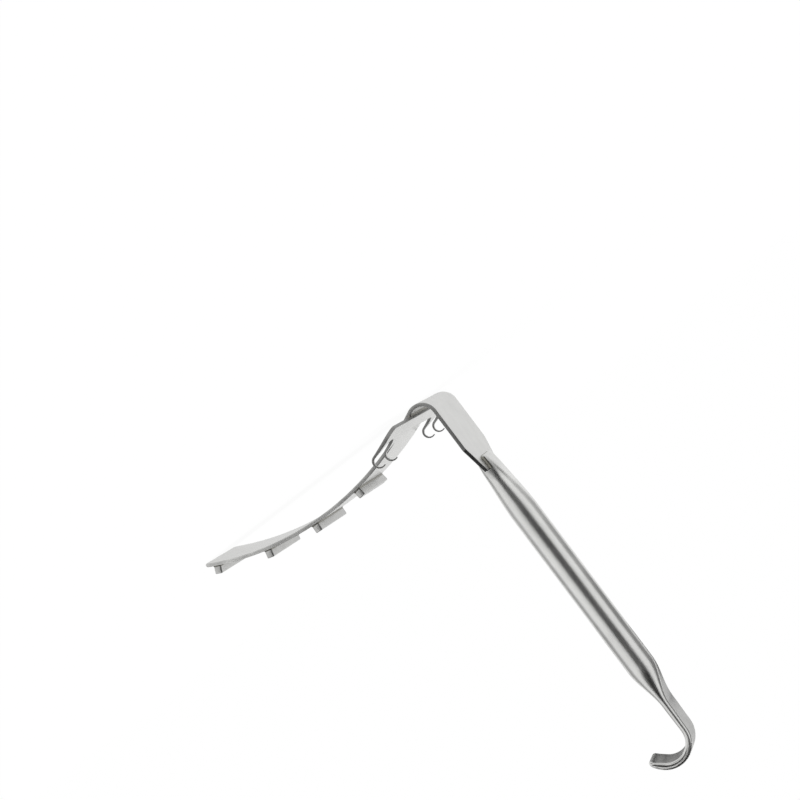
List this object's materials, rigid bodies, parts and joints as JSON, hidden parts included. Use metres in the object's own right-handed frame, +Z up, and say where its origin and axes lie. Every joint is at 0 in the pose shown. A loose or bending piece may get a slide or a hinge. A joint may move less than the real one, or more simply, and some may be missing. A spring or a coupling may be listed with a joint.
{
  "type": "abdominal retractor",
  "caption": "Hand-held steel abdominal retractor: an arched blade with cross bars, a claw plate and a tube handle that ends in a flat hook.",
  "frame": {"origin": "on the surface that the instrument stands on, under the middle of its length from the back of the grip to the tip of the blade, in its plane of symmetry", "axes": "+Z up along the handle, +X from the leg towards the tip of the blade, Y across the blade"},
  "size_m": [0.162, 0.165, 0.2387],
  "materials": {
    "satin_steel_blade": "satin stainless steel",
    "satin_steel_plate": "satin stainless steel",
    "satin_steel_bar": "satin stainless steel",
    "polished_steel_handle": "polished stainless steel"
  },
  "bodies": {
    "root": {"blade": "satin_steel_blade", "hook_plate": "satin_steel_plate", "bar_1": "satin_steel_bar", "bar_2": "satin_steel_bar", "bar_3": "satin_steel_bar", "bar_4": "satin_steel_bar", "handle": "polished_steel_handle"}
  },
  "joints": []
}
